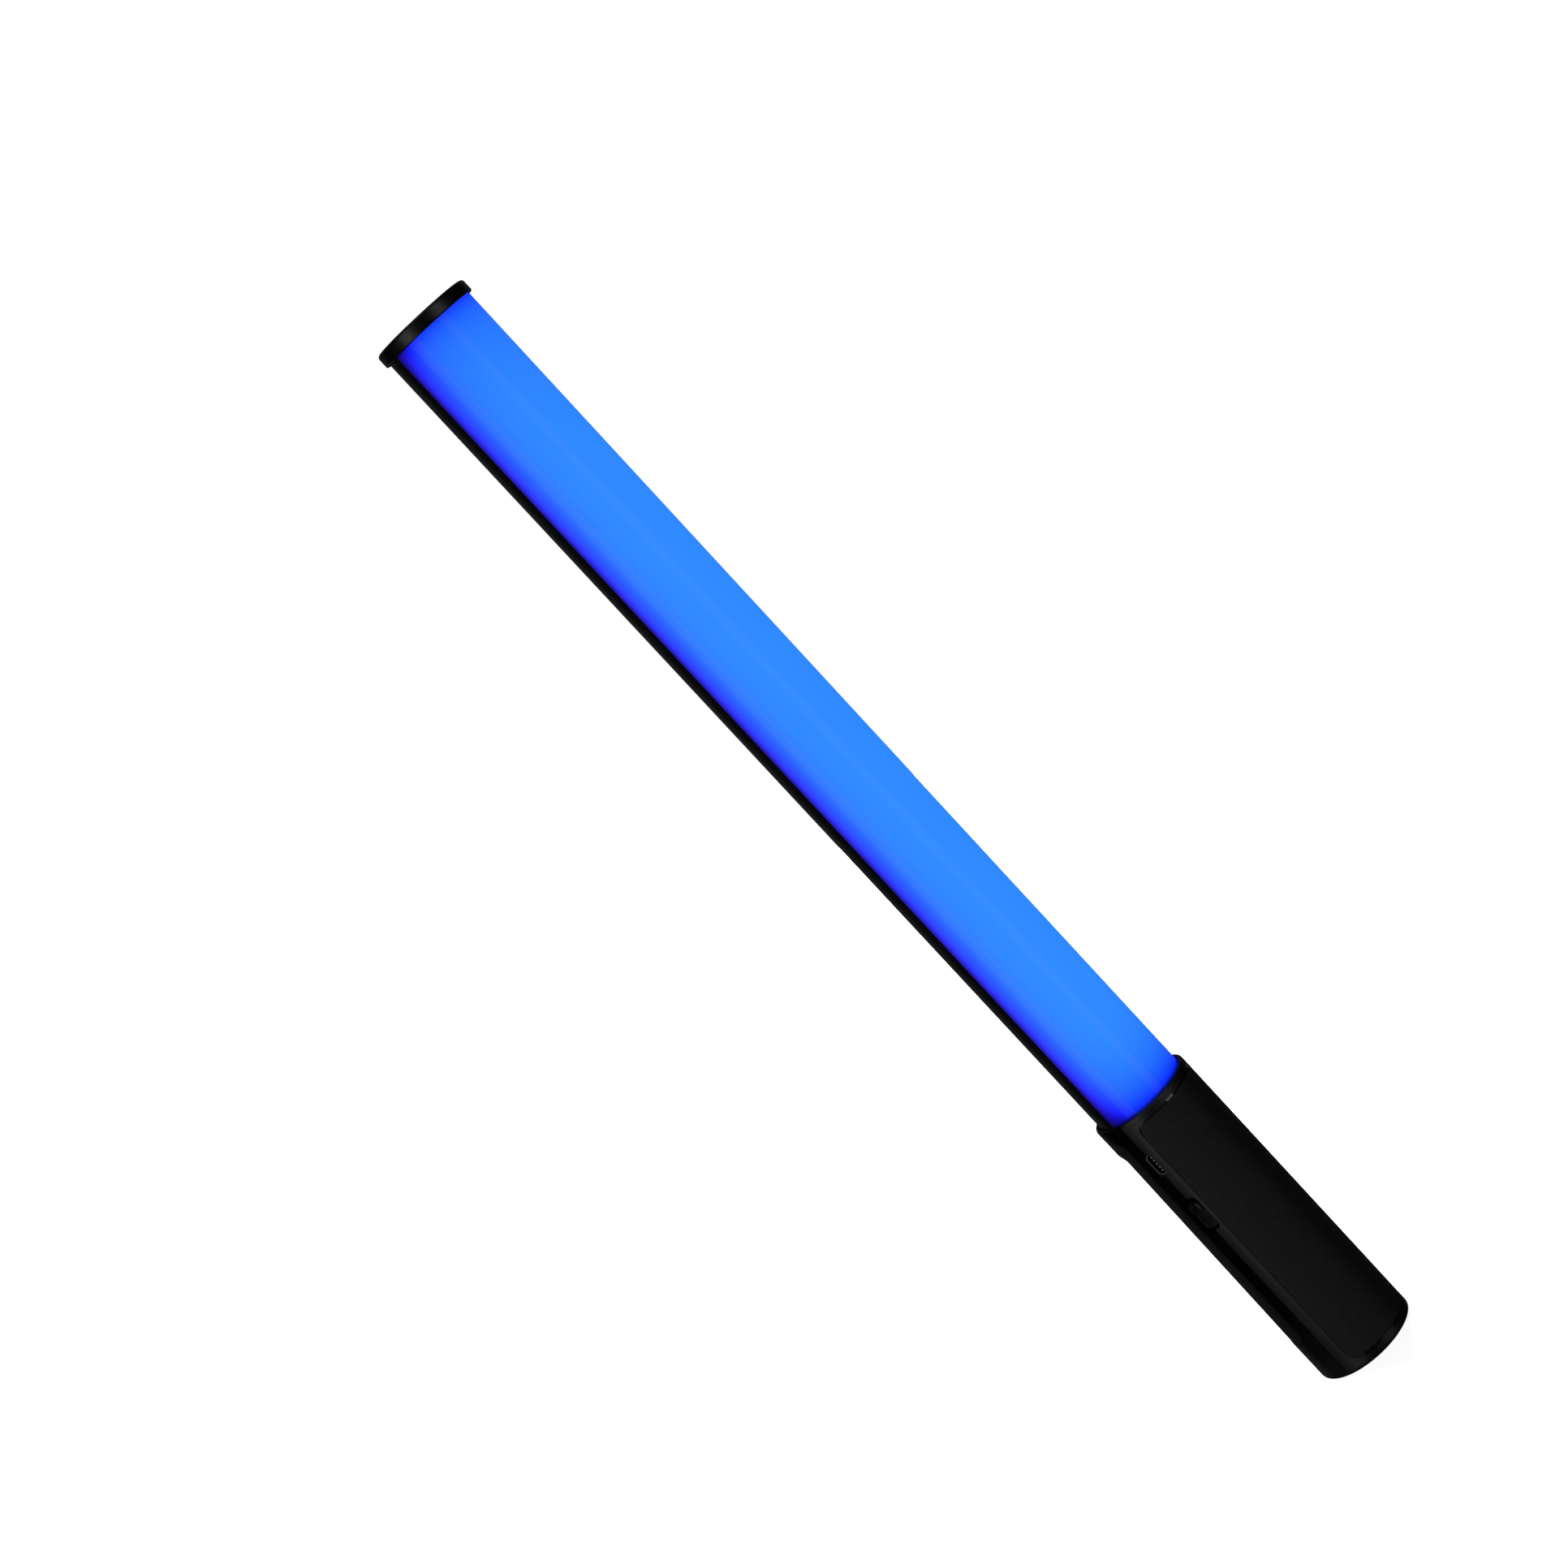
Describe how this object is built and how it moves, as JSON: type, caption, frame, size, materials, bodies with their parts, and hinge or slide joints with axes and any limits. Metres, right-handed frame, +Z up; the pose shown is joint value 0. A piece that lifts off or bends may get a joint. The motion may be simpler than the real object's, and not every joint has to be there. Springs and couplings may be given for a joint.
{
  "type": "led light tube",
  "caption": "Hand-held LED tube light: a lit opal tube on a round handle with a charging port, slide switch and back controls.",
  "frame": {"origin": "centre of the handle's base, on the axis of the tripod thread", "axes": "+Z up the tube towards its tip, -Y the lit front and the grip panel, +Y the controls, -X the charging port and slide switch"},
  "size_m": [0.0401, 0.04, 0.487],
  "materials": {
    "anodised_back": "black anodised, satin",
    "opal_diffuser": "opal, smooth satin, lit blue",
    "cap_plastic": "moulded black, satin",
    "shell_plastic": "moulded black, satin",
    "grip_surface": "soft-touch, fine grain, matte",
    "panel_surface": "fine grain, matte",
    "clip_plastic": "light grey, satin",
    "knob_plastic": "moulded black, satin",
    "button_rubber": "silicone, matte",
    "display_glass": "dark tinted, polished",
    "display_face": "glossy black",
    "circuit_board": "green solder mask",
    "white_board": "white solder mask on an aluminium core",
    "white_led": "yellow phosphor in a white case",
    "rgb_led": "clear lens in a white case",
    "chip_plastic": "moulded black",
    "steel": "plated",
    "gold_contact": "gold plated",
    "brass": "machined",
    "cell_wrap": "blue shrink sleeve",
    "foam": "closed-cell foam",
    "gasket_rubber": "moulded, matte",
    "wire": "insulated wire"
  },
  "bodies": {
    "light": {"heat_sink": "anodised_back", "diffuser": "opal_diffuser", "led_board": "white_board", "warm_leds": "white_led", "cool_leds": "white_led", "rgb_leds": "rgb_led", "tip_cap": "cap_plastic", "cap_screws": "steel", "front_shell": "shell_plastic", "back_shell": "shell_plastic", "grip_panel": "grip_surface", "panel_clips": "clip_plastic", "control_panel": "panel_surface", "display_window": "display_glass", "display_module": "display_face", "control_board": "circuit_board", "control_ribbon": "chip_plastic", "tact_switches": "chip_plastic", "usb_shell": "steel", "usb_tongue": "chip_plastic", "usb_contacts": "gold_contact", "switch_body": "steel", "main_board": "circuit_board", "board_components": "chip_plastic", "battery_cell": "cell_wrap", "battery_tabs": "steel", "battery_pad": "foam", "battery_leads": "wire", "led_leads": "wire", "tripod_insert": "brass", "case_screws": "steel", "socket_gasket": "gasket_rubber"},
    "power_switch": {"switch_knob": "knob_plastic", "switch_lever": "chip_plastic"},
    "mode_key": {"mode_button": "button_rubber"},
    "colour_key": {"colour_button": "button_rubber"},
    "minus_key": {"minus_button": "button_rubber"},
    "plus_key": {"plus_button": "button_rubber"}
  },
  "joints": [
    {"name": "power_switch_slide", "type": "slide", "parent": "light", "child": "power_switch", "axis": [0, 0, 1], "range_m": [0, 0.0018]},
    {"name": "mode_press", "type": "slide", "parent": "light", "child": "mode_key", "axis": [0, -1, 0], "range_m": [0, 0.0006], "stiffness_N_per_m": 800, "springref_m": -0.0005},
    {"name": "colour_press", "type": "slide", "parent": "light", "child": "colour_key", "axis": [0, -1, 0], "range_m": [0, 0.0006], "stiffness_N_per_m": 800, "springref_m": -0.0005},
    {"name": "minus_press", "type": "slide", "parent": "light", "child": "minus_key", "axis": [0, -1, 0], "range_m": [0, 0.0006], "stiffness_N_per_m": 800, "springref_m": -0.0005},
    {"name": "plus_press", "type": "slide", "parent": "light", "child": "plus_key", "axis": [0, -1, 0], "range_m": [0, 0.0006], "stiffness_N_per_m": 800, "springref_m": -0.0005}
  ]
}
